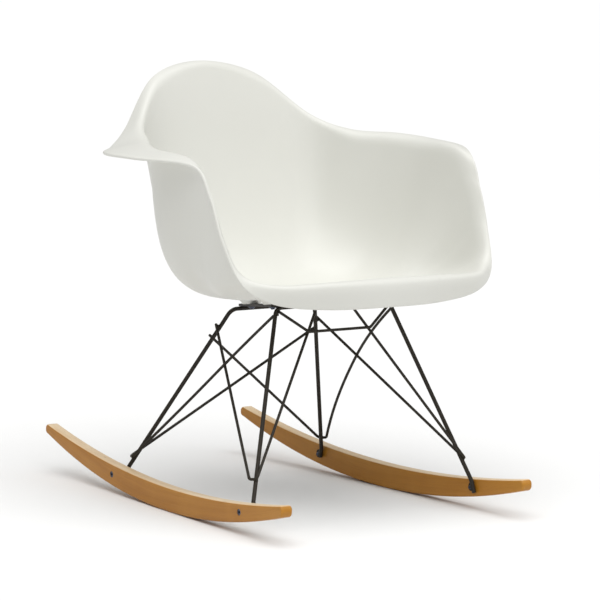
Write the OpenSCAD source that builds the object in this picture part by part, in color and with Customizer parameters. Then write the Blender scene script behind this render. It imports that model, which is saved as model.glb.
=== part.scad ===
// Rocking armchair: a moulded bucket shell on a wire cradle with two bent wooden rockers.
// The sitter faces -Y, +Z is up, and the rockers touch the floor at Z = 0.

/* [Rockers] */
// Length of each rocker along the floor
rocker_len = 696; // [680:2:710]
// Radius of the underside that rolls on the floor
roll_r = 1131; // [1100:1:1160]
// Radius of the top edge
rocker_top_r = 1812; // [1760:2:1860]
// Depth of a rocker where it touches the floor
rocker_depth = 37.2; // [35:0.1:39]
// Thickness of a rocker
rocker_t = 19.5; // [18:0.5:21]
// Distance from the middle of the chair to the middle of a rocker
rocker_x = 208.5; // [208:0.5:209.5]
// Angle that the front ends are spread by
rocker_toe = 2.95; // [2.8:0.05:3.1]

/* [Wire base] */
// Diameter of the two leg rods
rod_d = 6.4; // [6:0.2:7]
// Diameter of the bracing wires
wire_d = 4.4; // [4:0.2:5]
// Width of a mount bar
bar_w = 14; // [12:1:16]
// Thickness of a mount bar
bar_t = 4; // [3:0.5:5]

/* [Seat shell] */
// Wall of the moulded shell
wall = 5; // [4.5:0.5:6]
// Rings from the seat to the rim
wall_rings = 12; // [10:1:16]
// Strips between two lofting stations
strips = 4; // [4:1:6]

/* [Hidden] */
$fn = 48;

plastic = [0.90, 0.90, 0.88];
steel = [0.16, 0.14, 0.12];
maple = [0.72, 0.49, 0.25];
zinc = [0.30, 0.32, 0.36];

// ---- places that the parts share ----
contact_y = -26.5;
rocker_top_y = -38.4;                  // lowest point of a rocker's top edge
tip_r = 7.5;                           // rounding of a rocker's ends
edge_r = 3;                            // rounding of a rocker's long edges
arc_fn = 720;                          // fragments in the rockers' large circles
bend_lap = 0.3;                        // how far straight rod runs into a bend
bend_swell = 0.06;                     // extra thickness of rod in a bend
bolt_places = [[-232.3, 34.2], [137.9, 29.5]]; // front and rear foot bolts, Y and Z
plate_t = 3;
plate_low = 5.5;                       // how far a foot plate reaches below and above its bolt
plate_high = 7;
plate_rear = 5;                        // and behind it; in front it meets the leg rod
plate_front = 4.6;
bolt_d = 5;
nut_d = 10;
nut_recess = 0.6;
foot_head_d = 7;
mount_head_d = 9;
head_h = 3;

// ---- leg rods, sitter's left half ----
rear_rod = [[188.1, 131, 26], [186.9, 127.1, 41], [79.4, 11.9, 297.8]];
front_rod = [[207, -242.8, 27], [206.8, -235.2, 45.5], [106.2, -141.4, 320.5]];
knee_r = 24;
shoulder_r = 15;

// ---- bracing wires, sitter's left half ----
rear_hook = [[187.5, 115.4, 60.1], [182.5, 128.5, 57.8]];
rear_bow = [[116.6, -75.6, 257.2], [153.5, 52, 131]];
rear_strut_front_end = [112.2, -143.2, 308.8];
rear_strut_cross_end = [-101, 38.6, 255];
bow_r = [740, 1200];
front_hook = [[203, -218.3, 79.1], [197, -229, 80.5]];
front_strut_rear_end = [96.6, 28.4, 273];
front_strut_top_end = [36.8, -146.7, 311.5];
hook_r = 6;
tie_end = [105.2, -146.5, 315.8];
tie_knot = [58.3, -161.3, 283.9];
tie_r = 8;

// ---- mounts ----
bar_rear = [51, 24, 301.4];
bar_front = [111, -148, 325.5];
mount_at = [0.29, 0.9];                // along a bar, from its rear end
mount_rise = [11.5, 9.2];              // boss heights, rear and front
screw_d = 5;
screw_len = 10;
hole_clearance = 0.6;
washer_d = 12;
washer_t = 1.2;
insert_d = 9;
insert_len = 6;
boss_top_d = 50;
boss_foot_d = 30;

// ---- seat shell ----
seat_bottom = [0, -30, 324.5];
// Each station: corner between seat and wall, crest of the rim, edge of the lip, rounding of the crest
stations = [
    [[0, -186, 344], [0, -296, 386], [0, -286, 333], 34],
    [[100, -181, 343], [106, -291, 384], [105, -274, 333], 34],
    [[173, -161, 339], [191, -271, 382], [190, -256, 343], 32],
    [[207, -126, 334], [229, -226, 396], [235, -233, 372], 26],
    [[215, -101, 330], [240, -192, 443], [249, -203, 433], 20],
    [[215, -83, 325], [244, -156, 508], [252, -175, 496], 20],
    [[215, -57, 320], [245, -110, 554], [262, -140, 541], 24],
    [[212, -13, 314], [242, -31, 560], [308, -42, 547], 26],
    [[198, 33, 311], [224, 22, 564], [303, 41, 546], 26],
    [[164, 68, 316], [190, 83, 567], [238, 121, 545], 26],
    [[125, 94, 322], [161, 147, 587], [176, 176, 566], 18],
    [[74, 107, 329], [99, 196, 638], [100, 214, 642], 14],
    [[0, 113, 334], [0, 215, 665], [0, 233, 663], 12]];
seat_flatness = 0.63;
wall_start = 0.45;
crest_rings = 5;
lip_rings = 2;

// ---- small vector helpers ----
function unit(v) = v / norm(v);
function mix(a, b, t) = a + (b - a) * t;
function flip(p) = [-p[0], p[1], p[2]];

// A frame whose Z axis runs along d, placed at p
function along(p, d) = let (
        z = unit(d),
        side = abs(z[2]) < 0.9 ? [0, 0, 1] : [0, 1, 0],
        x = unit(cross(side, z)),
        y = cross(z, x))
    [[x[0], y[0], z[0], p[0]], [x[1], y[1], z[1], p[1]], [x[2], y[2], z[2], p[2]], [0, 0, 0, 1]];

// A frame whose X axis points from the centre c of a bend to its start, and Y along travel
function bend_frame(c, out, travel) = let (z = cross(out, travel))
    [[out[0], travel[0], z[0], c[0]], [out[1], travel[1], z[1], c[1]],
     [out[2], travel[2], z[2], c[2]], [0, 0, 0, 1]];

// Round bar from a to b
module straight(a, b, d) {
    multmatrix(along(a, b - a)) cylinder(h = norm(b - a), d = d);
}

// Round bar through all points, with the bend radius radii[i] at points[i]
module bent_bar(points, radii, d) {
    last = len(points) - 1;
    travel = [for (i = [0:last - 1]) unit(points[i + 1] - points[i])];
    turn = [for (i = [0:last]) i == 0 || i == last ? 0 : acos(travel[i - 1] * travel[i])];
    trim = [for (i = [0:last]) i == 0 || i == last ? 0 : radii[i] * tan(turn[i] / 2) - bend_lap];
    for (i = [0:last - 1])
        straight(points[i] + travel[i] * trim[i], points[i + 1] - travel[i] * trim[i + 1], d);
    for (i = [1:last - 1]) {
        inward = unit(travel[i] - travel[i - 1] * (travel[i] * travel[i - 1]));
        start = points[i] - travel[i - 1] * (trim[i] + bend_lap);
        multmatrix(bend_frame(start + inward * radii[i], -inward, travel[i - 1]))
            rotate_extrude(angle = turn[i], $fn = 120) translate([radii[i], 0])
                circle(d = d + bend_swell, $fn = 48);
    }
}

// ---- seat shell surface ----
// Station i of the whole rim: negative and overrunning numbers are the mirrored half
half = len(stations) - 1;
function station(i) = let (
        k = i < 0 ? -i : i > half ? 2 * half - i : i,
        s = stations[k])
    i < 0 || i > half ? [flip(s[0]), flip(s[1]), flip(s[2]), s[3]] : s;

// Catmull-Rom blend of four neighbours
function blend(a, b, c, d, t) = 0.5 * (2 * b + (c - a) * t + (2 * a - 5 * b + 4 * c - d) * t * t
    + (3 * b - a - 3 * c + d) * t * t * t);
function lofted(u, j) = let (i = min(floor(u), half - 1))
    blend(station(i - 1)[j], station(i)[j], station(i + 1)[j], station(i + 2)[j], u - i);

function quad_curve(a, b, c, t) = (1 - t) * (1 - t) * a + 2 * t * (1 - t) * b + t * t * c;
function seat_curve(p, t) = let (r = 1 - t)
    r * r * r * r * p[0] + 4 * t * r * r * r * p[1] + 6 * t * t * r * r * p[2]
    + 4 * t * t * t * r * p[3] + t * t * t * t * p[4];

// Profile from the seat's middle over the crest to the lip's edge at rim place u
function profile(u) = let (
        corner = lofted(u, 0),
        crest = lofted(u, 1),
        edge = lofted(u, 2),
        up = unit(crest - corner),
        out = unit(edge - crest),
        r = lofted(u, 3),
        foot = crest - up * r,
        shoulder = crest + out * min(r, 0.8 * norm(edge - crest)),
        seat = [seat_bottom, mix(seat_bottom, corner, seat_flatness), corner,
                mix(corner, foot, wall_start), foot])
    concat([for (i = [0:wall_rings]) seat_curve(seat, i / wall_rings)],
           [for (i = [1:crest_rings]) quad_curve(foot, crest, shoulder, i / crest_rings)],
           [for (i = [1:lip_rings]) mix(shoulder, edge, i / lip_rings)]);

module seat_shell() {
    steps = half * strips;
    left = [for (i = [0:steps]) profile(i / strips)];
    // The whole rim, once round from the front over the left side
    rim = concat(left, [for (i = [1:steps - 1]) [for (p = left[steps - i]) flip(p)]]);
    n = len(rim);
    m = len(rim[0]) - 1;
    function skin(i, j) = let (
            round = rim[(i + 1) % n][j] - rim[(i + n - 1) % n][j],
            outward = rim[i][min(j + 1, m)] - rim[i][j - 1])
        rim[i][j] + wall * unit(cross(round, outward));
    top = [for (i = [0:n - 1]) for (j = [1:m]) rim[i][j]];
    under = [for (i = [0:n - 1]) for (j = [1:m]) skin(i, j)];
    function at(i, j) = (i % n) * m + j - 1;
    s = n * m;
    pole = 2 * s;
    points = concat(top, under, [seat_bottom, seat_bottom - [0, 0, wall]]);
    faces = concat(
        [for (i = [0:n - 1]) [pole, at(i + 1, 1), at(i, 1)]],
        [for (i = [0:n - 1]) [pole + 1, s + at(i, 1), s + at(i + 1, 1)]],
        [for (i = [0:n - 1]) for (j = [1:m - 1]) each [
            [at(i, j), at(i + 1, j + 1), at(i, j + 1)],
            [at(i, j), at(i + 1, j), at(i + 1, j + 1)],
            [s + at(i, j), s + at(i, j + 1), s + at(i + 1, j + 1)],
            [s + at(i, j), s + at(i + 1, j + 1), s + at(i + 1, j)]]],
        [for (i = [0:n - 1]) each [
            [at(i, m), s + at(i + 1, m), s + at(i, m)],
            [at(i, m), at(i + 1, m), s + at(i + 1, m)]]]);
    color(plastic) polyhedron(points = points, faces = faces, convexity = 6);
}

// ---- mounts under the seat ----
bar_run = bar_front - bar_rear;
bar_up = unit(cross([1, 0, 0], -bar_run));

// Stands the children on the top face of the left bar at mount k, Z away from the bar
module on_bar(k) {
    place = mix(bar_rear, bar_front, mount_at[k]) + bar_up * bar_t / 2;
    multmatrix(along(place, bar_up)) children();
}

// The children at all four mounts
module at_mounts() {
    for (side = [0, 1]) mirror([side, 0, 0]) for (k = [0, 1]) {
        $rise = mount_rise[k];
        on_bar(k) children();
    }
}

module shell_bosses() {
    color(plastic) at_mounts() difference() {
        cylinder(h = $rise, d1 = boss_foot_d, d2 = boss_top_d);
        translate([0, 0, -1]) cylinder(h = insert_len + 1, d = insert_d);
    }
}

module boss_inserts() {
    color(zinc) at_mounts() difference() {
        cylinder(h = insert_len, d = insert_d);
        translate([0, 0, -1]) cylinder(h = insert_len + 2, d = screw_d);
    }
}

module mount_washers() {
    color(zinc) at_mounts() translate([0, 0, -bar_t - washer_t]) difference() {
        cylinder(h = washer_t, d = washer_d);
        translate([0, 0, -1]) cylinder(h = washer_t + 2, d = screw_d + hole_clearance);
    }
}

// Button head on the origin, shank along +Z
module button_bolt(shank_d, shank_len, head_d) {
    difference() {
        union() {
            translate([0, 0, -head_h]) cylinder(h = head_h, d1 = head_d * 0.6, d2 = head_d);
            cylinder(h = shank_len, d = shank_d);
        }
        translate([0, 0, -head_h - 1]) cylinder(h = head_h * 0.6 + 1, d = head_d * 0.4, $fn = 6);
    }
}

module mount_screws() {
    color(zinc) at_mounts() translate([0, 0, -bar_t - washer_t]) button_bolt(screw_d, screw_len, mount_head_d);
}

module left_mount_bar() {
    length = norm(bar_run);
    cut = bar_w * 0.3;
    half_w = bar_w / 2;
    outline = [[0, -half_w + cut], [cut, -half_w], [length - cut, -half_w], [length, -half_w + cut],
               [length, half_w - cut], [length - cut, half_w], [cut, half_w], [0, half_w - cut]];
    x = unit(bar_run);
    y = cross(bar_up, x);
    color(steel) difference() {
        multmatrix([[x[0], y[0], bar_up[0], bar_rear[0]], [x[1], y[1], bar_up[1], bar_rear[1]],
                    [x[2], y[2], bar_up[2], bar_rear[2]], [0, 0, 0, 1]])
            translate([0, 0, -bar_t / 2]) linear_extrude(bar_t) polygon(outline);
        for (k = [0, 1]) on_bar(k)
            translate([0, 0, -bar_t - 1]) cylinder(h = bar_t + 2, d = screw_d + hole_clearance);
    }
}

module right_mount_bar() {
    mirror([1, 0, 0]) left_mount_bar();
}

// ---- leg rods ----
// An arch through the left half's points and their mirror image
module arch(points) {
    last = len(points) - 1;
    whole = concat(points, [for (i = [last:-1:0]) flip(points[i])]);
    color(steel) bent_bar(whole, [0, knee_r, shoulder_r, shoulder_r, knee_r, 0], rod_d);
}

module rear_leg_rod() {
    arch(rear_rod);
}

module front_leg_rod() {
    arch(front_rod);
}

// ---- bracing wires ----
module left_rear_strut() {
    color(steel) bent_bar(concat([rear_strut_front_end], rear_bow, rear_hook, [rear_strut_cross_end]),
                          [0, bow_r[0], bow_r[1], hook_r, hook_r, 0], wire_d);
}

module right_rear_strut() {
    mirror([1, 0, 0]) left_rear_strut();
}

module left_front_strut() {
    color(steel) bent_bar(concat([front_strut_rear_end], front_hook, [front_strut_top_end]),
                          [0, hook_r, hook_r, 0], wire_d);
}

module right_front_strut() {
    mirror([1, 0, 0]) left_front_strut();
}

module front_tie_wire() {
    color(steel) bent_bar([tie_end, tie_knot, flip(tie_knot), flip(tie_end)],
                          [0, tie_r, tie_r, 0], wire_d);
}

// ---- rockers and feet ----
// The left rocker's own frame: X across it, Y along it, the floor at Z = 0
module beside(right) {
    mirror([right ? 1 : 0, 0, 0]) translate([rocker_x, 0, 0]) rotate([0, 0, rocker_toe]) children();
}

// A cylinder across the rocker, centred on X
module across(y, z, r, h) {
    translate([-h / 2, y, z]) rotate([0, 90, 0]) cylinder(h = h, r = r);
}

// Section of a rocker as a ring segment between two radii, its corners at radius keen rounded
module rocker_band(inner, outer, keen) {
    away = keen == outer ? -1 : 1;
    r = keen + away * edge_r;
    half_t = rocker_t / 2;
    rotate([0, -90, 0]) rotate([0, 0, 156]) rotate_extrude(angle = 48, $fn = arc_fn) {
        translate([min(r, r + away * 90), -half_t]) square([90, rocker_t]);
        translate([keen < r ? keen : r, edge_r - half_t]) square([edge_r, rocker_t - 2 * edge_r]);
        for (y = [-half_t + edge_r, half_t - edge_r]) translate([r, y]) circle(edge_r, $fn = 16);
    }
}

module rocker_body() {
    end_y = rocker_len / 2 - tip_r;
    end_z = [for (y = [-end_y, end_y]) (edge_z(y, contact_y, 0, roll_r)
        + edge_z(y, rocker_top_y, rocker_depth, rocker_top_r)) / 2];
    difference() {
        intersection() {
            translate([0, contact_y, roll_r]) rocker_band(roll_r - 120, roll_r, roll_r);
            translate([0, rocker_top_y, rocker_depth + rocker_top_r])
                rocker_band(rocker_top_r, rocker_top_r + 120, rocker_top_r);
            union() {
                translate([-rocker_t, -end_y, -1]) cube([2 * rocker_t, 2 * end_y, 160]);
                across(-end_y, end_z[0], tip_r, 2 * rocker_t);
                across(end_y, end_z[1], tip_r, 2 * rocker_t);
            }
        }
        for (p = bolt_places) across(p[0], p[1], nut_d / 2, rocker_t + 2);
    }
}

// Height of an arc of radius r whose lowest point is low, at y0
function edge_z(y, y0, low, r) = low + r - sqrt(r * r - (y - y0) * (y - y0));

module left_rocker() {
    color(maple) beside(false) rocker_body();
}

module right_rocker() {
    color(maple) beside(true) rocker_body();
}

// Plate welded to the foot of a leg rod and bolted to the rocker's inner face
module foot_plate(right, place) {
    low = place[1] - plate_low;
    high = place[1] + plate_high;
    front = place[0] - plate_front;
    rear = place[0] + plate_rear;
    cut = 3;
    outline = [[low, front], [high, front], [high, rear - cut], [high - cut, rear],
               [low + cut, rear], [low, rear - cut]];
    color(steel) beside(right) difference() {
        translate([-rocker_t / 2, 0, 0]) rotate([0, -90, 0]) linear_extrude(plate_t) polygon(outline);
        across(place[0], place[1], (bolt_d + hole_clearance) / 2, 2 * (rocker_t + plate_t));
    }
}

module left_front_foot_plate() {
    foot_plate(false, bolt_places[0]);
}

module right_front_foot_plate() {
    foot_plate(true, bolt_places[0]);
}

module left_rear_foot_plate() {
    foot_plate(false, bolt_places[1]);
}

module right_rear_foot_plate() {
    foot_plate(true, bolt_places[1]);
}

// The children at all four feet, Z pointing outwards from the plate's inner face
module at_feet() {
    for (right = [false, true]) beside(right) for (p = bolt_places)
        translate([-rocker_t / 2 - plate_t, p[0], p[1]]) rotate([0, 90, 0]) children();
}

module foot_bolts() {
    color(zinc) at_feet() button_bolt(bolt_d, plate_t + rocker_t * 0.6, foot_head_d);
}

module barrel_nuts() {
    length = rocker_t - nut_recess;
    color(zinc) at_feet() translate([0, 0, plate_t]) difference() {
        cylinder(h = length, d = nut_d - 0.1);
        translate([0, 0, -1]) cylinder(h = rocker_t * 0.65 + 1, d = bolt_d + 0.1);
        translate([0, 0, length - 3]) cylinder(h = 4, d = nut_d * 0.5, $fn = 6);
    }
}

seat_shell();
shell_bosses();
boss_inserts();
mount_screws();
mount_washers();
left_mount_bar();
right_mount_bar();
rear_leg_rod();
front_leg_rod();
left_rear_strut();
right_rear_strut();
left_front_strut();
right_front_strut();
front_tie_wire();
left_rocker();
right_rocker();
left_front_foot_plate();
right_front_foot_plate();
left_rear_foot_plate();
right_rear_foot_plate();
foot_bolts();
barrel_nuts();
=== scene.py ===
"""Looks of a rocking armchair: moulded bucket shell, braced wire base and two bent maple rockers.

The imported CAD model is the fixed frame. The shell, its bosses, its gate mark, the rockers and the weld beads
are surfaces worked out here with numpy. The wires, bars, plates and fasteners keep their CAD shapes and get
their finishes.
Everything is in metres: +Z is up, the sitter faces -Y and +X is the sitter's left.
"""

from __future__ import annotations

import logging
from dataclasses import dataclass, field
from enum import Enum
from typing import Callable, Sequence

import bmesh
import bpy
import numpy as np
from mathutils import Matrix, Vector

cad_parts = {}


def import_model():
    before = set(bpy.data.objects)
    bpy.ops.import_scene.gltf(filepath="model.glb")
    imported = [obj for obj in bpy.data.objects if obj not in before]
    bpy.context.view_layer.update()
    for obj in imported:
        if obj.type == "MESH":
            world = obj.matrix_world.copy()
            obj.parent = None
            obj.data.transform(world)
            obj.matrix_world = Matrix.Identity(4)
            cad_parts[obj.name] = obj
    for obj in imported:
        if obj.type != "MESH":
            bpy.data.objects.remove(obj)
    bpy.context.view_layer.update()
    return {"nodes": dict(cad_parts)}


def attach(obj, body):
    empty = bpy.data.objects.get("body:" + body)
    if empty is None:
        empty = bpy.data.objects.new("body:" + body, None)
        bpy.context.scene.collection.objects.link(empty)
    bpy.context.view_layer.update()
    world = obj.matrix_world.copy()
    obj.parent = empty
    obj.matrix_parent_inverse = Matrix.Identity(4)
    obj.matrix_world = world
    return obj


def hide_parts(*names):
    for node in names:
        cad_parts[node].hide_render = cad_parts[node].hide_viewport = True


LOG = logging.getLogger("rocking_armchair")
Array = np.ndarray
BODY = "root"
MM = 0.001


class Side(Enum):
    """Which half of the chair a piece is in: the sign of its X."""

    LEFT = 1
    RIGHT = -1


class Slot(Enum):
    """Material slots of the chair's pieces."""

    SHELL = "shell_plastic"
    STEEL = "dark_steel"
    ZINC = "zinc"
    MAPLE = "maple"


# ---------------------------------------------------------------- mesh helpers


def unit(v: Array) -> Array:
    """Scales vectors on the last axis to length one."""
    return v / np.maximum(np.linalg.norm(v, axis=-1, keepdims=True), 1e-12)


def grid_faces(rows: int, cols: int, closed: bool) -> Array:
    """Quads of a grid of points stored row by row.

    Args:
        rows: Number of rows.
        cols: Points in a row.
        closed: Whether the last row joins the first.

    Returns:
        Vertex numbers, four to a quad.
    """
    i = np.arange(rows if closed else rows - 1)
    j = np.arange(cols - 1)
    a, b = np.meshgrid(i, j, indexing="ij")
    nxt = (a + 1) % rows
    quads = np.stack([a * cols + b, a * cols + b + 1, nxt * cols + b + 1, nxt * cols + b], axis=-1)
    return quads.reshape(-1, 4)


def mesh_object(name: str, points: Array, faces: Array, smooth: bool = True) -> bpy.types.Object:
    """Makes an object at the origin from vertices and faces.

    Args:
        name: Name of the piece.
        points: Vertices, one to a row.
        faces: Vertex numbers, one face to a row.
        smooth: Whether the faces are shaded smooth.

    Returns:
        The new object, merged at its seams and with its faces outwards.
    """
    mesh = bpy.data.meshes.new(name)
    mesh.from_pydata(points.reshape(-1, 3).tolist(), [], faces.tolist())
    work = bmesh.new()
    work.from_mesh(mesh)
    bmesh.ops.remove_doubles(work, verts=work.verts, dist=2e-6)
    bmesh.ops.dissolve_degenerate(work, edges=work.edges, dist=1e-6)
    bmesh.ops.recalc_face_normals(work, faces=work.faces)
    work.to_mesh(mesh)
    work.free()
    mesh.polygons.foreach_set("use_smooth", np.full(len(mesh.polygons), smooth))
    mesh.update()
    made = bpy.data.objects.new(name, mesh)
    bpy.context.scene.collection.objects.link(made)
    return made


def vertex_array(mesh: bpy.types.Mesh) -> Array:
    """Vertices of a mesh as an array, one to a row."""
    flat = np.empty(len(mesh.vertices) * 3)
    mesh.vertices.foreach_get("co", flat)
    return flat.reshape(-1, 3)


def store_values(mesh: bpy.types.Mesh, name: str, values: Array) -> None:
    """Keeps one number for each vertex as a mesh attribute that a material reads."""
    layer = mesh.attributes.new(name, "FLOAT", "POINT")
    layer.data.foreach_set("value", values.astype(np.float32))


def store_vectors(mesh: bpy.types.Mesh, name: str, values: Array) -> None:
    """Keeps one vector for each vertex as a mesh attribute that a material reads."""
    layer = mesh.attributes.new(name, "FLOAT_VECTOR", "POINT")
    layer.data.foreach_set("vector", values.astype(np.float32).ravel())


# ---------------------------------------------------------------- node helpers


class NodeSheet:
    """Adds nodes and links to a node tree in short calls."""

    def __init__(self, tree: bpy.types.NodeTree) -> None:
        """Keeps the tree that the nodes go into."""
        self.tree = tree

    def add(self, kind: str, settings: dict | None = None, **inputs: object) -> bpy.types.Node:
        """Adds a node.

        Args:
            kind: The node's class name without its ShaderNode prefix.
            settings: Properties of the node itself.
            **inputs: Socket values or output sockets to link; an underscore stands for a space, and a name
                such as in0 stands for the socket's number.

        Returns:
            The new node.
        """
        node = self.tree.nodes.new("ShaderNode" + kind)
        for key, value in (settings or {}).items():
            setattr(node, key, value)
        for key, value in inputs.items():
            place = int(key[2:]) if key.startswith("in") and key[2:].isdigit() else key.replace("_", " ")
            socket = node.inputs[place]
            if isinstance(value, bpy.types.NodeSocket):
                self.tree.links.new(value, socket)
            else:
                socket.default_value = value
        return node

    def math(self, operation: str, a: object, b: object = 0.0) -> bpy.types.NodeSocket:
        """One Math node's result."""
        return self.add("Math", {"operation": operation}, in0=a, in1=b).outputs[0]

    def mix(self, factor: object, a: object, b: object) -> bpy.types.NodeSocket:
        """Colour a where the factor is 0 and b where it is 1."""
        node = self.add("Mix", {"data_type": "RGBA"}, in0=factor, in6=a, in7=b)
        return node.outputs[2]

    def span(self, value: object, low: float, high: float, to_low: float = 0.0,
             to_high: float = 1.0) -> bpy.types.NodeSocket:
        """A value carried from one range to another and kept inside it."""
        node = self.add("MapRange", {"clamp": True}, in0=value, in1=low, in2=high, in3=to_low, in4=to_high)
        return node.outputs[0]


def rgba(colour: Sequence[float]) -> tuple[float, float, float, float]:
    """A linear colour with full alpha."""
    return (colour[0], colour[1], colour[2], 1.0)


class SharedEffects:
    """Shader node groups that more than one finish uses, each built once."""

    def __init__(self) -> None:
        """Starts with no group built."""
        self.built: dict[str, bpy.types.NodeTree] = {}

    def _group(self, name: str, inputs: dict[str, tuple[str, object]], outputs: dict[str, str],
               draw: Callable[[NodeSheet, bpy.types.Node, bpy.types.Node], None]) -> bpy.types.NodeTree:
        """Builds a group the first time it is asked for.

        Args:
            name: Name of the group.
            inputs: Socket types and first values by name.
            outputs: Socket types by name.
            draw: Lays the nodes between the group's input and output nodes.

        Returns:
            The group's tree.
        """
        if name not in self.built:
            tree = bpy.data.node_groups.new(name, "ShaderNodeTree")
            for label, (kind, value) in inputs.items():
                socket = tree.interface.new_socket(label, in_out="INPUT", socket_type="NodeSocket" + kind)
                if value is not None:
                    socket.default_value = value
            for label, kind in outputs.items():
                tree.interface.new_socket(label, in_out="OUTPUT", socket_type="NodeSocket" + kind)
            draw(NodeSheet(tree), tree.nodes.new("NodeGroupInput"), tree.nodes.new("NodeGroupOutput"))
            self.built[name] = tree
        return self.built[name]

    def pebble(self) -> bpy.types.NodeTree:
        """Fine pebbled surface of moulded plastic or powder coat: a height and a slow variation mask."""

        def draw(sheet: NodeSheet, start: bpy.types.Node, end: bpy.types.Node) -> None:
            """Fine noise for the pebbles, wide noise for the slow variation."""
            at = start.outputs["Vector"]
            fine = sheet.add("TexNoise", Vector=at, Scale=start.outputs["Pebbles"], Detail=2.0)
            wide = sheet.add("TexNoise", Vector=at, Scale=start.outputs["Patches"], Detail=3.0)
            sheet.tree.links.new(fine.outputs["Fac"], end.inputs["Height"])
            sheet.tree.links.new(sheet.span(wide.outputs["Fac"], 0.3, 0.7), end.inputs["Patch"])

        return self._group("pebbled_surface", {"Vector": ("Vector", None), "Pebbles": ("Float", 900.0),
                                               "Patches": ("Float", 6.0)},
                           {"Height": "Float", "Patch": "Float"}, draw)

    def rubbed(self) -> bpy.types.NodeTree:
        """Small rubbed places where handling has polished or marked a finish: a mask from 0 to 1."""

        def draw(sheet: NodeSheet, start: bpy.types.Node, end: bpy.types.Node) -> None:
            """Sparse spots of one noise, broken up by a finer one."""
            at = start.outputs["Vector"]
            spots = sheet.add("TexNoise", Vector=at, Scale=start.outputs["Spots"], Detail=4.0, Roughness=0.65)
            finer = sheet.math("MULTIPLY", start.outputs["Spots"], 7.0)
            grit = sheet.add("TexNoise", Vector=at, Scale=finer, Detail=2.0)
            worn = sheet.span(spots.outputs["Fac"], 0.62, 0.72)
            mask = sheet.math("MULTIPLY", worn, sheet.span(grit.outputs["Fac"], 0.4, 0.6))
            sheet.tree.links.new(sheet.math("MULTIPLY", mask, start.outputs["Amount"]), end.inputs["Mask"])

        return self._group("rubbed_places", {"Vector": ("Vector", None), "Spots": ("Float", 40.0),
                                             "Amount": ("Float", 0.5)}, {"Mask": "Float"}, draw)


# ---------------------------------------------------------------- finishes


@dataclass(frozen=True)
class Finish:
    """A finish with its own procedural material."""

    name: str
    effects: SharedEffects = field(compare=False)

    def start(self) -> tuple[bpy.types.Material, NodeSheet, bpy.types.Node]:
        """A new material with only a Principled BSDF and its output.

        Returns:
            The material, a sheet to add nodes with and the shader.
        """
        material = bpy.data.materials.new(self.name)
        material.use_nodes = True
        tree = material.node_tree
        tree.nodes.clear()
        sheet = NodeSheet(tree)
        shader = sheet.add("BsdfPrincipled")
        sheet.add("OutputMaterial", Surface=shader.outputs[0])
        return material, sheet, shader

    def place_group(self, sheet: NodeSheet, tree: bpy.types.NodeTree, **inputs: object) -> bpy.types.Node:
        """Puts a shared effect into a material with its own values."""
        node = sheet.tree.nodes.new("ShaderNodeGroup")
        node.node_tree = tree
        for key, value in inputs.items():
            socket = node.inputs[key]
            if isinstance(value, bpy.types.NodeSocket):
                sheet.tree.links.new(value, socket)
            else:
                socket.default_value = value
        return node


@dataclass(frozen=True)
class MouldedPlastic(Finish):
    """Satin moulded polypropylene with a fine grain."""

    colour: tuple[float, float, float] = (0.672, 0.672, 0.628)
    cooler: tuple[float, float, float] = (0.655, 0.655, 0.608)
    roughness: float = 0.42
    grain_depth: float = 0.00006

    def build(self) -> bpy.types.Material:
        """Makes the material."""
        material, sheet, shader = self.start()
        at = sheet.add("TexCoord").outputs["Object"]
        pebble = self.place_group(sheet, self.effects.pebble(), Vector=at, Pebbles=1100.0, Patches=5.0)
        rubbed = self.place_group(sheet, self.effects.rubbed(), Vector=at, Spots=22.0, Amount=0.5)
        tint = sheet.mix(pebble.outputs["Patch"], rgba(self.cooler), rgba(self.colour))
        sheet.tree.links.new(tint, shader.inputs["Base Color"])
        rough = sheet.span(pebble.outputs["Patch"], 0.0, 1.0, self.roughness + 0.04, self.roughness - 0.03)
        rough = sheet.math("SUBTRACT", rough, sheet.math("MULTIPLY", rubbed.outputs["Mask"], 0.08))
        sheet.tree.links.new(rough, shader.inputs["Roughness"])
        bump = sheet.add("Bump", Strength=0.35, Distance=self.grain_depth, Height=pebble.outputs["Height"])
        sheet.tree.links.new(bump.outputs[0], shader.inputs["Normal"])
        shader.inputs["IOR"].default_value = 1.49
        return material


@dataclass(frozen=True)
class PowderCoat(Finish):
    """Dark brown-black powder coat with a slight orange peel."""

    colour: tuple[float, float, float] = (0.0165, 0.0125, 0.0075)
    lighter: tuple[float, float, float] = (0.023, 0.018, 0.011)
    rub: tuple[float, float, float] = (0.036, 0.029, 0.020)
    roughness: float = 0.55
    peel_depth: float = 0.00009

    def build(self) -> bpy.types.Material:
        """Makes the material."""
        material, sheet, shader = self.start()
        at = sheet.add("TexCoord").outputs["Object"]
        pebble = self.place_group(sheet, self.effects.pebble(), Vector=at, Pebbles=620.0, Patches=18.0)
        rubbed = self.place_group(sheet, self.effects.rubbed(), Vector=at, Spots=60.0, Amount=0.6)
        base = sheet.mix(pebble.outputs["Patch"], rgba(self.colour), rgba(self.lighter))
        tint = sheet.mix(rubbed.outputs["Mask"], base, rgba(self.rub))
        sheet.tree.links.new(tint, shader.inputs["Base Color"])
        rough = sheet.math("SUBTRACT", self.roughness, sheet.math("MULTIPLY", rubbed.outputs["Mask"], 0.14))
        sheet.tree.links.new(rough, shader.inputs["Roughness"])
        bump = sheet.add("Bump", Strength=0.5, Distance=self.peel_depth, Height=pebble.outputs["Height"])
        sheet.tree.links.new(bump.outputs[0], shader.inputs["Normal"])
        shader.inputs["Specular IOR Level"].default_value = 0.3
        return material


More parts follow.
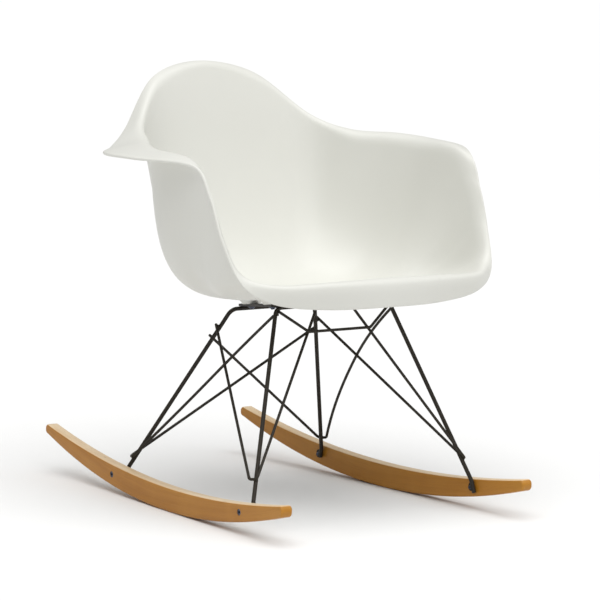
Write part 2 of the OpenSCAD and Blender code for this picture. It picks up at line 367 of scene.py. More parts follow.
@dataclass(frozen=True)
class DarkPlating(Finish):
    """Dark blue-black plated steel of the fasteners."""

    colour: tuple[float, float, float] = (0.085, 0.095, 0.125)
    brighter: tuple[float, float, float] = (0.18, 0.19, 0.22)
    roughness: float = 0.36

    def build(self) -> bpy.types.Material:
        """Makes the material."""
        material, sheet, shader = self.start()
        at = sheet.add("TexCoord").outputs["Object"]
        pebble = self.place_group(sheet, self.effects.pebble(), Vector=at, Pebbles=1500.0, Patches=90.0)
        rubbed = self.place_group(sheet, self.effects.rubbed(), Vector=at, Spots=260.0, Amount=0.8)
        base = sheet.mix(rubbed.outputs["Mask"], rgba(self.colour), rgba(self.brighter))
        sheet.tree.links.new(base, shader.inputs["Base Color"])
        rough = sheet.span(pebble.outputs["Patch"], 0.0, 1.0, self.roughness - 0.06, self.roughness + 0.1)
        sheet.tree.links.new(rough, shader.inputs["Roughness"])
        bump = sheet.add("Bump", Strength=0.25, Distance=0.00004, Height=pebble.outputs["Height"])
        sheet.tree.links.new(bump.outputs[0], shader.inputs["Normal"])
        shader.inputs["Metallic"].default_value = 0.85
        return material


@dataclass(frozen=True)
class BentMaple(Finish):
    """Golden maple whose grain follows the bend, under a satin lacquer, with a painted highlight (a pale
    sheen) along the top edge.
    """

    colour: tuple[float, float, float] = (0.400, 0.168, 0.016)
    late: tuple[float, float, float] = (0.335, 0.130, 0.009)
    pale: tuple[float, float, float] = (0.475, 0.222, 0.030)
    pore: tuple[float, float, float] = (0.26, 0.100, 0.010)
    roughness: float = 0.34
    attribute: str = "grain"
    # The top-edge mask and its two pale colours make a painted highlight: the sheen of the bright surroundings
    # on the lacquer, painted into the colour.
    sheen_attribute: str = "bare_top"
    bare: tuple[float, float, float] = (0.78, 0.62, 0.42)
    sheen_pale_late: tuple[float, float, float] = (0.68, 0.50, 0.30)

    def build(self) -> bpy.types.Material:
        """Makes the material. The grain attribute is (along the bend, outwards, across), in metres."""
        material, sheet, shader = self.start()
        grain = sheet.add("Attribute", {"attribute_name": self.attribute}).outputs["Vector"]

        def stretched(along: float, out: float, across: float) -> bpy.types.NodeSocket:
            """The grain coordinates, each scaled on its own."""
            return sheet.add("Mapping", Vector=grain, Scale=(along, out, across)).outputs[0]

        wander = sheet.add("TexNoise", Vector=stretched(5.0, 22.0, 22.0), Scale=1.0, Detail=2.0)
        shifted = sheet.add("VectorMath", {"operation": "MULTIPLY_ADD"}, in0=wander.outputs["Color"],
                            in1=(0.0, 0.012, 0.012), in2=grain).outputs[0]
        lines = sheet.add("Mapping", Vector=shifted, Scale=(2.2, 95.0, 60.0)).outputs[0]
        rings = sheet.add("TexNoise", Vector=lines, Scale=1.0, Detail=5.0, Roughness=0.6, Distortion=0.3)
        fibres = sheet.add("Mapping", Vector=shifted, Scale=(9.0, 420.0, 420.0)).outputs[0]
        streak = sheet.add("TexNoise", Vector=fibres, Scale=1.0, Detail=3.0, Roughness=0.7)
        pits = sheet.add("Mapping", Vector=shifted, Scale=(55.0, 1500.0, 1500.0)).outputs[0]
        pores = sheet.add("TexNoise", Vector=pits, Scale=1.0, Detail=1.0)
        figure = sheet.add("TexNoise", Vector=stretched(26.0, 6.0, 6.0), Scale=1.0, Detail=2.0, Roughness=0.4)
        patches = sheet.add("TexNoise", Vector=stretched(4.0, 14.0, 14.0), Scale=1.0, Detail=2.0)

        ring_mask = sheet.span(rings.outputs["Fac"], 0.36, 0.66)
        base = sheet.mix(ring_mask, rgba(self.late), rgba(self.colour))
        base = sheet.mix(sheet.span(patches.outputs["Fac"], 0.35, 0.75, 0.0, 0.7), base, rgba(self.pale))
        base = sheet.mix(sheet.span(streak.outputs["Fac"], 0.50, 0.72, 0.0, 0.5), base, rgba(self.late))
        base = sheet.mix(sheet.span(figure.outputs["Fac"], 0.45, 0.7, 0.0, 0.28), base, rgba(self.pale))
        # Painted highlight: the top edge is paled by its mask, as if the lacquer there caught the sheen of the
        # surroundings.
        top = sheet.add("Attribute", {"attribute_name": self.sheen_attribute}).outputs["Fac"]
        bare = sheet.mix(ring_mask, rgba(self.sheen_pale_late), rgba(self.bare))
        base = sheet.mix(top, base, bare)
        pore_mask = sheet.span(pores.outputs["Fac"], 0.66, 0.74, 0.0, 0.55)
        sheet.tree.links.new(sheet.mix(pore_mask, base, rgba(self.pore)), shader.inputs["Base Color"])

        rough = sheet.span(streak.outputs["Fac"], 0.3, 0.7, self.roughness - 0.04, self.roughness + 0.07)
        sheet.tree.links.new(rough, shader.inputs["Roughness"])
        height = sheet.math("SUBTRACT", sheet.math("MULTIPLY", streak.outputs["Fac"], 0.6), pore_mask)
        bump = sheet.add("Bump", Strength=0.35, Distance=0.00012, Height=height)
        sheet.tree.links.new(bump.outputs[0], shader.inputs["Normal"])
        shader.inputs["Specular IOR Level"].default_value = 0.3
        return material


# ---------------------------------------------------------------- seat shell


@dataclass
class SeatShell:
    """One-piece bucket shell: a loft round its rim, with a wall and a rounded edge."""

    material: bpy.types.Material
    # Each station round the left half, front to back: corner between seat and wall, crest of the rim,
    # edge of the lip, and rounding of the crest, in millimetres
    stations: tuple[tuple[float, ...], ...] = (
        (0, -186, 344, 0, -296, 386, 0, -286, 333, 34),
        (100, -181, 343, 106, -291, 384, 105, -274, 333, 34),
        (173, -161, 339, 191, -271, 382, 190, -256, 343, 32),
        (207, -126, 334, 229, -226, 396, 235, -233, 372, 26),
        (215, -101, 330, 240, -192, 443, 249, -203, 433, 20),
        (215, -83, 325, 244, -156, 508, 252, -175, 496, 20),
        (215, -57, 320, 245, -110, 554, 262, -140, 541, 24),
        (212, -13, 314, 242, -31, 560, 308, -42, 547, 26),
        (198, 33, 311, 224, 22, 564, 303, 41, 546, 26),
        (164, 68, 316, 190, 83, 567, 238, 121, 545, 26),
        (125, 94, 322, 161, 147, 587, 176, 176, 566, 18),
        (74, 107, 329, 99, 196, 638, 100, 214, 642, 14),
        (0, 113, 334, 0, 215, 665, 0, 233, 663, 12),
    )
    seat_bottom: tuple[float, float, float] = (0, -30, 324.5)
    flatness: float = 0.63
    wall_start: float = 0.45
    wall: float = 5.0
    strips: int = 16
    wall_rings: int = 44
    crest_rings: int = 14
    lip_rings: int = 6
    edge_rings: int = 8

    def rim_controls(self) -> tuple[Array, Array]:
        """Controls all round the rim.

        A Catmull-Rom blend runs through the stations of both halves: with neighbours a, b, c, d and t from b
        to c it is (2b + (c - a)t + (2a - 5b + 4c - d)t^2 + (3b - a - 3c + d)t^3) / 2.

        Returns:
            Corner, crest and edge points as places x 3 x 3, and the rounding at each place.
        """
        left = np.array(self.stations, float)
        flip = np.array([-1, 1, 1] * 3 + [1.0])
        ring = np.concatenate([left, (left * flip)[-2:0:-1]])
        count = len(ring)
        t = (np.arange(self.strips) / self.strips)[None, :, None]
        a, b, c, d = (np.roll(ring, s, axis=0)[:, None, :] for s in (1, 0, -1, -2))
        bend, twist = 2 * a - 5 * b + 4 * c - d, 3 * b - a - 3 * c + d
        run = 0.5 * (2 * b + (c - a) * t + bend * t**2 + twist * t**3)
        run = run.reshape(count * self.strips, 10)
        return run[:, :9].reshape(-1, 3, 3), run[:, 9]

    def upper_surface(self) -> Array:
        """The side the sitter touches, from the seat's middle over the crest to the lip's edge.

        The seat and wall are a quartic Bezier curve (1-t)^4 p0 + 4t(1-t)^3 p1 + 6t^2(1-t)^2 p2 +
        4t^3(1-t) p3 + t^4 p4, the crest is a quadratic one, and the lip is straight.

        Returns:
            Points as places round the rim x rings x 3.
        """
        controls, rounding = self.rim_controls()
        corner, crest, edge = controls[:, 0], controls[:, 1], controls[:, 2]
        r = rounding[:, None]
        up, out = unit(crest - corner), unit(edge - crest)
        reach = np.linalg.norm(edge - crest, axis=1, keepdims=True)
        edge = edge - out * self.wall * 0.5
        foot = crest - up * r
        shoulder = crest + out * np.minimum(r, 0.8 * reach)
        bottom = np.broadcast_to(np.array(self.seat_bottom, float), corner.shape)
        p = [bottom, bottom + (corner - bottom) * self.flatness, corner,
             corner + (foot - corner) * self.wall_start, foot]
        t = np.linspace(0, 1, self.wall_rings + 1)[None, :, None]
        weights = [(1 - t) ** 4, 4 * t * (1 - t) ** 3, 6 * t**2 * (1 - t) ** 2, 4 * t**3 * (1 - t), t**4]
        seat = sum(w * q[:, None, :] for w, q in zip(weights, p))
        t = np.linspace(0, 1, self.crest_rings + 1)[1:][None, :, None]
        bend = (1 - t) ** 2 * foot[:, None] + 2 * t * (1 - t) * crest[:, None] + t**2 * shoulder[:, None]
        t = np.linspace(0, 1, self.lip_rings + 1)[1:][None, :, None]
        lip = shoulder[:, None] + (edge - shoulder)[:, None] * t
        return np.concatenate([seat, bend, lip], axis=1)

    def below(self, top: Array) -> Array:
        """Unit vectors from the upper surface into the wall: the cross product of its two grid steps."""
        around = np.roll(top, -1, axis=0) - np.roll(top, 1, axis=0)
        outward = np.empty_like(top)
        outward[:, 1:-1] = top[:, 2:] - top[:, :-2]
        outward[:, 0] = top[:, 1] - top[:, 0]
        outward[:, -1] = top[:, -1] - top[:, -2]
        down = unit(np.cross(around, outward))
        down[:, 0] = (0, 0, -1)
        return down

    def build(self) -> bpy.types.Object:
        """Builds the shell: upper side, half-round edge and underside are one closed surface.

        The edge is a half circle: from the upper side's end its centre lies half a wall below, and the point
        at angle q is centre - down cos(q) h + out sin(q) h, with h half the wall.

        Returns:
            The shell.
        """
        top = self.upper_surface()
        down = self.below(top)
        h = self.wall * 0.5
        out = unit(top[:, -1] - top[:, -2])[:, None]
        last, dip = top[:, -1][:, None], down[:, -1][:, None]
        q = np.linspace(0, np.pi, self.edge_rings + 1)[1:-1][None, :, None]
        rounded = last + dip * h - dip * h * np.cos(q) + out * h * np.sin(q)
        under = (top + down * self.wall)[:, ::-1]
        rings = np.concatenate([top, rounded, under], axis=1) * MM
        shell = mesh_object("seat_shell_moulded", rings, grid_faces(rings.shape[0], rings.shape[1], True))
        shell.data.materials.append(self.material)
        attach(shell, BODY)
        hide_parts("seat_shell")
        return shell


@dataclass
class GateMark:
    """Small round mark that the mould's gate leaves on the front roll of the seat."""

    shell: SeatShell
    place: tuple[int, int] = (14, 52)
    radius: float = 1.5
    ring: float = 0.32
    turns: int = 40
    section: int = 13

    def build(self) -> bpy.types.Object:
        """Builds the mark: a torus half sunk in the shell.

        A point is middle + (radius + ring cos(q)) (side cos(p) + other sin(p)) + ring sin(q) outwards.

        Returns:
            The mark.
        """
        top = self.shell.upper_surface()
        out = -self.shell.below(top)[self.place]
        side = unit(np.cross(out, (0.0, 0.0, 1.0)))
        other = np.cross(out, side)
        p = np.linspace(0, 2 * np.pi, self.turns, endpoint=False)[:, None, None]
        q = np.linspace(0, 2 * np.pi, self.section)[None, :, None]
        reach = self.radius + self.ring * np.cos(q)
        round_mark = reach * (side * np.cos(p) + other * np.sin(p))
        points = top[self.place] + round_mark + self.ring * np.sin(q) * out
        made = mesh_object("gate_mark", points * MM, grid_faces(self.turns, self.section, True))
        made.data.materials.append(self.shell.material)
        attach(made, BODY)
        return made


@dataclass
class ShellBosses:
    """Conical bosses under the shell, with a filleted flare and a rounded foot."""

    material: bpy.types.Material
    node: bpy.types.Object
    bar: bpy.types.Object
    sides: int = 64
    foot_rounding: float = 1.2 * MM
    bore: float = 4.6 * MM
    bore_depth: float = 6.5 * MM
    flare: float = 0.78
    foot_rings: int = 5
    flare_rings: int = 18
    cap: float = 0.6
    foot_slice: float = 0.2 * MM
    crease: float = 50.0

    def axes(self) -> list[tuple[Array, Array, float, float, float]]:
        """Finds each boss in its CAD node. Its axis is the thin direction of the bar that it stands on.

        Returns:
            For each boss the middle of its foot, its axis, its height, and its foot and top radii.
        """
        bar = vertex_array(self.bar.data)
        axis = np.linalg.svd(bar - bar.mean(axis=0), full_matrices=False)[2][2]
        axis = axis * np.sign(axis[2])
        first = unit(np.cross((0.0, 1.0, 0.0), axis))
        basis = np.stack([first, np.cross(axis, first), axis])
        points = vertex_array(self.node.data)
        middle_y = (points[:, 1].min() + points[:, 1].max()) / 2
        found = []
        for side in Side:
            for sign in (-1, 1):
                quarter = (points[:, 0] * side.value > 0) & ((points[:, 1] - middle_y) * sign > 0)
                own = points[quarter] @ basis.T
                low, high = own.min(axis=0), own.max(axis=0)
                foot = np.array([*((low + high) / 2)[:2], low[2]])
                ring = own[own[:, 2] < low[2] + self.foot_slice]
                radius = np.linalg.norm(ring[:, :2] - foot[:2], axis=1).max()
                found.append((foot @ basis, axis, high[2] - low[2], radius, (high[0] - low[0]) / 2))
        return found

    def build(self) -> bpy.types.Object:
        """Builds the bosses as one piece.

        The profile turned about each axis goes out of the bore, round the foot, and up a flare whose radius
        is foot + (top - foot) * s^(1/flare) at the fraction s of the height.

        Returns:
            The bosses.
        """
        turn = np.linspace(0, 2 * np.pi, self.sides, endpoint=False)
        points, faces, start = [], [], 0
        for foot, axis, height, r0, r1 in self.axes():
            e = self.foot_rounding
            q = np.linspace(0, np.pi / 2, self.foot_rings)
            s = np.linspace(0, 1, self.flare_rings)
            radius = np.concatenate([[0, self.bore, self.bore], r0 - e + e * np.sin(q),
                                     r0 + (r1 - r0) * s[1:] ** (1 / self.flare), [r1 * self.cap, 0]])
            rise = np.concatenate([[self.bore_depth, self.bore_depth, 0], e - e * np.cos(q),
                                   e + (height - e) * s[1:], [height, height]])
            side = unit(np.cross(axis, (1.0, 0, 0)))
            other = np.cross(axis, side)
            ring = side * np.cos(turn)[:, None] + other * np.sin(turn)[:, None]
            grid = foot + ring[:, None, :] * radius[None, :, None] + axis * rise[None, :, None]
            points.append(grid.reshape(-1, 3))
            faces.append(grid_faces(self.sides, len(radius), True) + start)
            start += grid.shape[0] * grid.shape[1]
        made = mesh_object("shell_bosses_moulded", np.concatenate(points), np.concatenate(faces))
        made.data.materials.append(self.material)
        made.modifiers.new("crisp_edges", "EDGE_SPLIT").split_angle = np.radians(self.crease)
        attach(made, BODY)
        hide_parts("shell_bosses")
        return made


# ---------------------------------------------------------------- rockers


@dataclass
class Rocker:
    """Bent rocker: a rounded section carried between two arcs, with holes for its nuts."""

    material: bpy.types.Material
    side: Side
    length: float = 696.0
    roll_radius: float = 1131.0
    contact_y: float = -26.5
    top_radius: float = 1812.0
    top_y: float = -38.4
    depth: float = 37.2
    thickness: float = 19.5
    middle_x: float = 208.5
    toe: float = 2.95
    tip_rounding: float = 7.5
    edge: float = 3.0
    stations: int = 240
    tip_stations: int = 12
    section: int = 80
    bolt_places: tuple[tuple[float, float], ...] = ((-232.3, 34.2), (137.9, 29.5))
    nut_diameter: float = 10.0
    nut_play: float = 0.05
    hole_sides: int = 48
    grain_shift: float = 400.0
    crease: float = 40.0

    @staticmethod
    def arc(y: Array, low_y: float, low: float, radius: float) -> Array:
        """Height of an arc at y: low + radius - sqrt(radius^2 - (y - low_y)^2)."""
        return low + radius - np.sqrt(radius**2 - (y - low_y) ** 2)

    def surface(self) -> Array:
        """Points of the rocker as stations x section x 3, in millimetres, before it is placed.

        The section is a rectangle between the lower and upper arcs, with quarter circles at its corners. Past
        the ends' centres its half height is that of the tip's circle, sqrt(1 - d^2) of the full one at the
        fraction d of the tip, and its half width and corner rounding fall in the same way over the last few
        millimetres.
        """
        end = self.length / 2
        centre = end - self.tip_rounding
        body = np.linspace(-centre, centre, self.stations)
        tip = centre + self.tip_rounding * np.sin(np.linspace(0, np.pi / 2, self.tip_stations))[1:]
        y = np.concatenate([-tip[::-1], body, tip])
        inner = np.clip(y, -centre, centre)
        low = self.arc(inner, self.contact_y, 0.0, self.roll_radius)
        high = self.arc(inner, self.top_y, self.depth, self.top_radius)
        past = (np.abs(y) - np.abs(inner)) / self.tip_rounding
        shrink = np.sqrt(np.clip(1 - past**2, 0, 1))
        middle, half = (low + high) / 2, (high - low) / 2 * shrink
        near = np.clip((np.abs(y) - (end - self.edge)) / self.edge, 0, 1)
        width = self.thickness / 2 - self.edge * (1 - np.sqrt(1 - near**2))
        e = np.minimum(self.edge, np.minimum(half, width))
        q = np.linspace(0, 2 * np.pi, self.section, endpoint=False)
        cx, cz = np.sign(np.cos(q)), np.sign(np.sin(q))
        x = cx * (width - e)[:, None] + e[:, None] * np.cos(q)
        z = middle[:, None] + cz * (half - e)[:, None] + e[:, None] * np.sin(q)
        return np.stack([x, np.broadcast_to(y[:, None], x.shape), z], axis=-1)

    def place(self, points: Array) -> Array:
        """Turns the rocker out by its toe, moves it to its side and gives metres."""
        a = np.radians(self.toe)
        x = points[..., 0] * np.cos(a) - points[..., 1] * np.sin(a) + self.middle_x
        y = points[..., 0] * np.sin(a) + points[..., 1] * np.cos(a)
        return np.stack([x * self.side.value, y, points[..., 2]], axis=-1) * MM

    def unplace(self, placed: Array) -> Array:
        """Takes placed points back to the rocker's own frame, in millimetres."""
        p = placed / MM
        a = np.radians(self.toe)
        x0, y0 = p[:, 0] * self.side.value - self.middle_x, p[:, 1]
        return np.stack([x0 * np.cos(a) + y0 * np.sin(a), y0 * np.cos(a) - x0 * np.sin(a), p[:, 2]], axis=-1)

    def grain(self, own: Array) -> Array:
        """Grain coordinates of points in the rocker's frame: along the bend, from its centre, and across."""
        y, z = own[:, 1] - self.contact_y, self.roll_radius - own[:, 2]
        shift = self.grain_shift * self.side.value
        along = np.arctan2(y, z) * self.roll_radius + shift
        return np.stack([along, np.hypot(y, z), own[:, 0] + shift], axis=-1) * MM

    def bare_top(self, own: Array) -> Array:
        """How far each point is in the painted highlight along the top edge: 1 from half way round the upper
        corners, else 0.
        """
        high = self.arc(own[:, 1], self.top_y, self.depth, self.top_radius)
        return np.clip((own[:, 2] - high + self.edge * 0.55) / (self.edge * 0.3), 0, 1)

    def holes(self) -> bpy.types.Object:
        """Cutter for the nut holes: round rods across the rocker, one for each bolt."""
        q = np.linspace(0, 2 * np.pi, self.hole_sides, endpoint=False)
        r = self.nut_diameter / 2 + self.nut_play
        rings = [(-self.thickness, 0), (-self.thickness, r), (self.thickness, r), (self.thickness, 0)]
        points, faces = [], []
        for k, (y, z) in enumerate(self.bolt_places):
            circles = [(np.full_like(q, x), y + radius * np.cos(q), z + radius * np.sin(q))
                       for x, radius in rings]
            grid = np.stack([np.stack(circle, -1) for circle in circles], axis=1)
            points.append(self.place(grid).reshape(-1, 3))
            faces.append(grid_faces(len(q), len(rings), True) + k * len(q) * len(rings))
        return mesh_object("nut_hole_cutter", np.concatenate(points), np.concatenate(faces), False)

    def build(self) -> bpy.types.Object:
        """Builds the rocker, cuts its nut holes and stores its grain coordinates."""
        grid = self.surface()
        rows, cols = grid.shape[:2]
        grid = np.concatenate([grid, grid[:, :1]], axis=1)
        name = self.side.name.lower() + "_rocker_bent"
        rocker = mesh_object(name, self.place(grid), grid_faces(rows, cols + 1, False))
        cutter = self.holes()
        cut = rocker.modifiers.new("nut_holes", "BOOLEAN")
        cut.operation, cut.solver, cut.object = "DIFFERENCE", "EXACT", cutter
        view = bpy.context.evaluated_depsgraph_get()
        mesh = bpy.data.meshes.new_from_object(rocker.evaluated_get(view))
        rocker.modifiers.clear()
        rocker.data = mesh
        mesh.name = name
        bpy.data.objects.remove(cutter)
        mesh.set_sharp_from_angle(angle=np.radians(self.crease))
        own = self.unplace(vertex_array(mesh))
        store_vectors(mesh, "grain", self.grain(own))
        # Mask of the painted highlight (pale sheen) on the top edge, read by the material.
        store_values(mesh, "bare_top", self.bare_top(own))
        mesh.materials.clear()
        mesh.materials.append(self.material)
        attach(rocker, BODY)
        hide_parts(self.side.name.lower() + "_rocker")
        return rocker


# ---------------------------------------------------------------- wire base


@dataclass
class WireBase:
    """Weld beads where the wires and rods of the base meet; the wires keep their CAD shapes."""

    material: bpy.types.Material
    rod: float = 6.4
    wire: float = 4.4
    # Corners of each run that starts on the sitter's left, in millimetres. The last corner of front_rod and
    # the first of tie lie 4 to 5 mm from the CAD's, so the beads there sit that much off their wires.
    rear_rod: tuple[tuple[float, ...], ...] = (
        (188.1, 131, 26), (186.9, 127.1, 41), (79.4, 11.9, 297.8))
    front_rod: tuple[tuple[float, ...], ...] = (
        (207, -242.8, 27), (206.8, -235.2, 45.5), (107.7, -142.8, 316.5))
    rear_strut: tuple[tuple[float, ...], ...] = (
        (112.2, -143.2, 308.8), (116.6, -75.6, 257.2), (153.5, 52, 131), (187.5, 115.4, 60.1),
        (182.5, 128.5, 57.8), (-101, 38.6, 255))
    front_strut: tuple[tuple[float, ...], ...] = (
        (96.6, 28.4, 273), (203, -218.3, 79.1), (197, -229, 80.5), (36.8, -146.7, 311.5))
    tie: tuple[tuple[float, ...], ...] = ((106.7, -149, 313), (58.3, -161.3, 283.9))
    reach: float = 1.6
    bead_turns: int = 20
    bead_rings: int = 14
    bead_width: float = 0.36
    bead_length: float = 0.7
    weld_cell: float = 30.0

    def runs(self) -> list[tuple[Array, float]]:
        """All wires as corner points and diameter, in millimetres."""
        flip = np.array([-1.0, 1, 1])
        found = []
        for points, size in ((self.rear_rod, self.rod), (self.front_rod, self.rod), (self.tie, self.wire)):
            half = np.array(points, float)
            found.append((np.concatenate([half, (half * flip)[::-1]]), size))
        for side in Side:
            sign = np.array([side.value, 1.0, 1.0])
            for points in (self.rear_strut, self.front_strut):
                found.append((np.array(points, float) * sign, self.wire))
        return found

    @staticmethod
    def nearest(a0: Array, a1: Array, b0: Array, b1: Array, steps: int = 241) -> tuple[Array, Array]:
        """Nearest points of two straight runs, from a fine grid of distances between them."""
        t = np.linspace(0, 1, steps)[:, None]
        pa, pb = a0 + (a1 - a0) * t, b0 + (b1 - b0) * t
        gap = np.linalg.norm(pa[:, None] - pb[None], axis=-1)
        i, j = np.unravel_index(gap.argmin(), gap.shape)
        return pa[i], pb[j]

    def joins(self) -> list[tuple[Array, Array, Array, float]]:
        """Places where two wires touch.

        Returns:
            For each weld its middle, the two wires' directions and the mean of their diameters.
        """
        runs = self.runs()
        found: list[tuple[Array, Array, Array, float]] = []
        for k, (one, d1) in enumerate(runs):
            for two, d2 in runs[k + 1:]:
                best: dict[tuple[int, int, int], tuple[float, Array, Array, Array]] = {}
                for a0, a1 in zip(one, one[1:]):
                    for b0, b1 in zip(two, two[1:]):
                        pa, pb = self.nearest(a0, a1, b0, b1)
                        gap = float(np.linalg.norm(pa - pb))
                        if gap < (d1 + d2) / 2 + self.reach:
                            key = tuple(np.round((pa + pb) / (2 * self.weld_cell)).astype(int))
                            if key not in best or gap < best[key][0]:
                                middle = (pa * d2 + pb * d1) / (d1 + d2)
                                best[key] = (gap, middle, unit(a1 - a0), unit(b1 - b0))
                found += [(mid, u, v, (d1 + d2) / 2) for _, mid, u, v in best.values()]
        return found

    def bead(self, middle: Array, u: Array, v: Array, size: float, k: int) -> Array:
        """One bead as rings x turns x 3, in millimetres.

        It is an ellipsoid, long along the sum of the wires' directions, whose radius ripples along and round
        it, as swell says, like a run of overlapping drops.
        """
        w = v if float(u @ v) > 0 else -v
        long_way = unit(u + w)
        off = unit(np.cross(long_way, (0.3, 0.2, 1.0)))
        last = np.cross(long_way, off)
        lat = np.linspace(0, np.pi, self.bead_rings)[:, None]
        lon = np.linspace(0, 2 * np.pi, self.bead_turns + 1)[None]
        swell = 1 + 0.06 * np.sin(5 * lat + k) + 0.04 * np.sin(3 * lon + 2 * k)
        r = swell * np.sin(lat) * size * self.bead_width
        stretch = np.cos(lat) * size * self.bead_length * np.ones_like(lon)
        return (middle + long_way * stretch[..., None] + off * (r * np.cos(lon))[..., None]
                + last * (r * np.sin(lon))[..., None])

    def build(self) -> bpy.types.Object:
        """Builds all weld beads as one piece."""
        points, faces, start = [], [], 0
        for k, (middle, u, v, size) in enumerate(self.joins()):
            grid = self.bead(middle, u, v, size, k) * MM
            points.append(grid.reshape(-1, 3))
            faces.append(grid_faces(grid.shape[0], grid.shape[1], False) + start)
            start += grid.shape[0] * grid.shape[1]
        made = mesh_object("weld_beads", np.concatenate(points), np.concatenate(faces))
        made.data.materials.append(self.material)
        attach(made, BODY)
        return made


# ---------------------------------------------------------------- studio


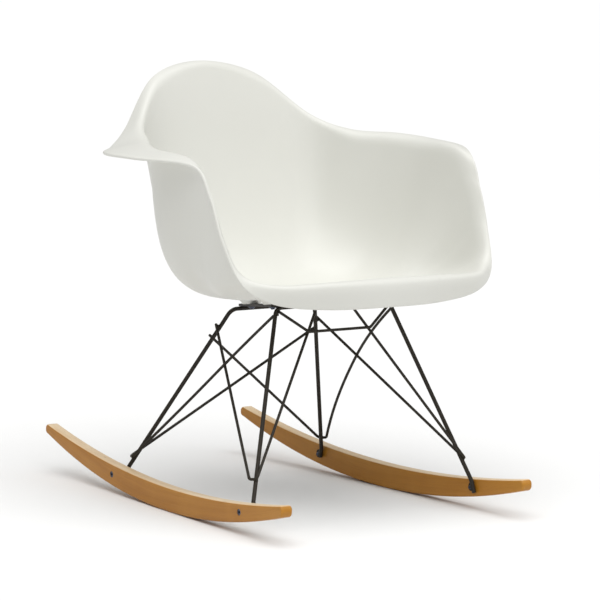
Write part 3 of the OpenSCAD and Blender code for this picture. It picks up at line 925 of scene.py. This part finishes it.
@dataclass
class Studio:
    """Pale floor, soft lights and the camera."""

    target: tuple[float, float, float] = (0.0508, 0.01965, 0.314)
    azimuth: float = -36.344
    elevation: float = 7.614
    roll: float = 1.576
    distance: float = 6.1337
    lens: float = 235.5
    shift: tuple[float, float] = (0.00475, -0.0112)
    floor_colour: tuple[float, float, float] = (0.84, 0.84, 0.835)
    backdrop: float = 1.0
    ambient: float = 0.43
    sun_power: float = 2.75
    key_power: float = 7.0
    aim_point: tuple[float, float, float] = (0.0, 0.0, 0.35)
    floor_half: float = 60.0
    floor_drop: float = 0.0004

    def axes(self) -> tuple[Vector, Vector, Vector]:
        """The camera's right, up and back directions."""
        az, el, roll = np.radians([self.azimuth, self.elevation, self.roll])
        back = Vector((np.sin(az) * np.cos(el), -np.cos(az) * np.cos(el), np.sin(el)))
        level = Vector((np.cos(az), np.sin(az), 0))
        upright = back.cross(level)
        right = level * np.cos(roll) + upright * np.sin(roll)
        up = upright * np.cos(roll) - level * np.sin(roll)
        return right, up, back

    def camera(self) -> bpy.types.Object:
        """Places the camera and makes it the scene's."""
        right, up, back = self.axes()
        data = bpy.data.cameras.new("studio_camera")
        data.lens, data.sensor_width = self.lens, 36.0
        data.shift_x, data.shift_y = self.shift
        data.clip_end = 60.0
        camera = bpy.data.objects.new("studio_camera", data)
        bpy.context.scene.collection.objects.link(camera)
        turn = Matrix((right, up, back)).transposed().to_4x4()
        camera.matrix_world = Matrix.Translation(Vector(self.target) + back * self.distance) @ turn
        bpy.context.scene.camera = camera
        return camera

    def floor(self) -> bpy.types.Object:
        """A wide pale floor with a faint mottling."""
        half = self.floor_half
        points = np.array([[-half, -half, 0], [half, -half, 0], [half, half, 0], [-half, half, 0]])
        floor = mesh_object("studio_floor", points, np.array([[0, 1, 2, 3]]), False)
        floor.location.z = -self.floor_drop
        material = bpy.data.materials.new("pale_floor")
        material.use_nodes = True
        sheet = NodeSheet(material.node_tree)
        shader = material.node_tree.nodes["Principled BSDF"]
        noise = sheet.add("TexNoise", Vector=sheet.add("TexCoord").outputs["Object"], Scale=3.0, Detail=2.0)
        darker = tuple(c * 0.985 for c in self.floor_colour)
        tint = sheet.mix(noise.outputs["Fac"], rgba(darker), rgba(self.floor_colour))
        sheet.tree.links.new(tint, shader.inputs["Base Color"])
        shader.inputs["Roughness"].default_value = 0.9
        shader.inputs["Specular IOR Level"].default_value = 0.1
        floor.data.materials.append(material)
        return floor

    def hang(self, data: bpy.types.Light, place: tuple[float, float, float]) -> bpy.types.Object:
        """Puts a light in the scene, turned towards the chair.

        Args:
            data: The light.
            place: Where it stands, in metres.

        Returns:
            The light's object.
        """
        lamp = bpy.data.objects.new(data.name, data)
        bpy.context.scene.collection.objects.link(lamp)
        aim = Vector(self.aim_point) - Vector(place)
        turn = aim.to_track_quat("-Z", "Y").to_matrix().to_4x4()
        lamp.matrix_world = Matrix.Translation(Vector(place)) @ turn
        return lamp

    def light(self, name: str, place: tuple[float, float, float], size: float,
              power: float) -> bpy.types.Object:
        """A square soft light that looks at the chair.

        Args:
            name: Name of the light.
            place: Where it stands, in metres.
            size: Length of its sides.
            power: Power in watts.

        Returns:
            The light.
        """
        data = bpy.data.lights.new(name, "AREA")
        data.shape, data.size, data.energy = "SQUARE", size, power
        return self.hang(data, place)

    def sky(self) -> None:
        """A white backdrop whose light on the chair is dimmer than what shows behind it."""
        world = bpy.data.worlds.new("studio_world")
        world.use_nodes = True
        sheet = NodeSheet(world.node_tree)
        seen = sheet.add("LightPath").outputs["Is Camera Ray"]
        strength = sheet.span(seen, 0.0, 1.0, self.ambient, self.backdrop)
        background = world.node_tree.nodes["Background"]
        background.inputs["Color"].default_value = (1, 1, 1, 1)
        sheet.tree.links.new(strength, background.inputs["Strength"])
        bpy.context.scene.world = world

    def sun(self, name: str, place: tuple[float, float, float], spread: float,
            power: float) -> bpy.types.Object:
        """A wide soft light from one direction, the same everywhere on the floor.

        Args:
            name: Name of the light.
            place: A point that the light comes from.
            spread: Angle that the light fills, in degrees.
            power: Irradiance in watts for a square metre.

        Returns:
            The light.
        """
        data = bpy.data.lights.new(name, "SUN")
        data.energy, data.angle = power, np.radians(spread)
        return self.hang(data, place)

    def build(self) -> None:
        """Sets up the colour view, world, lights, floor and camera."""
        bpy.context.scene.view_settings.view_transform = "Standard"
        self.sky()
        self.sun("soft_sun", (-0.32, -0.62, 2.2), 70.0, self.sun_power)
        self.light("key_light", (2.4, -2.0, 2.2), 1.6, self.key_power)
        self.floor()
        self.camera()


# ---------------------------------------------------------------- the whole chair


@dataclass
class Armchair:
    """All pieces of the chair with their finishes."""

    nodes: dict[str, bpy.types.Object]
    effects: SharedEffects = field(default_factory=SharedEffects)

    def dress_cad_nodes(self, materials: dict[Slot, bpy.types.Material]) -> None:
        """Gives every CAD node that stays the material of its slot.

        Args:
            materials: A material for each slot.
        """
        wires = [n for n in self.nodes if n.endswith(("_strut", "_leg_rod", "_bar", "_plate", "_wire"))]
        fasteners = ["boss_inserts", "mount_screws", "mount_washers", "foot_bolts", "barrel_nuts"]
        for names, slot in ((wires, Slot.STEEL), (fasteners, Slot.ZINC)):
            for name in names:
                mesh = self.nodes[name].data
                mesh.materials.clear()
                mesh.materials.append(materials[slot])
                LOG.info("dressed %s in %s", name, slot.value)

    def build(self) -> list[bpy.types.Object]:
        """Builds every new piece and dresses the rest.

        Returns:
            The new pieces.
        """
        plastic = MouldedPlastic("moulded_plastic", self.effects).build()
        steel = PowderCoat("powder_coated_steel", self.effects).build()
        zinc = DarkPlating("dark_plating", self.effects).build()
        maple = BentMaple("bent_maple", self.effects).build()
        self.dress_cad_nodes({Slot.STEEL: steel, Slot.ZINC: zinc})
        shell = SeatShell(plastic)
        bosses = ShellBosses(plastic, self.nodes["shell_bosses"], self.nodes["left_mount_bar"])
        made = [shell.build(), GateMark(shell).build(), bosses.build()]
        made += [Rocker(maple, side).build() for side in Side]
        made.append(WireBase(steel).build())
        for piece in made:
            LOG.info("built %s with %d faces", piece.name, len(piece.data.polygons))
        return made


def main() -> None:
    """Loads the frame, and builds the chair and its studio."""
    logging.basicConfig(level=logging.INFO, format="%(name)s: %(message)s")
    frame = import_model()
    Armchair(frame["nodes"]).build()
    Studio().build()
    bpy.context.view_layer.update()


if __name__ == "__main__":
    main()
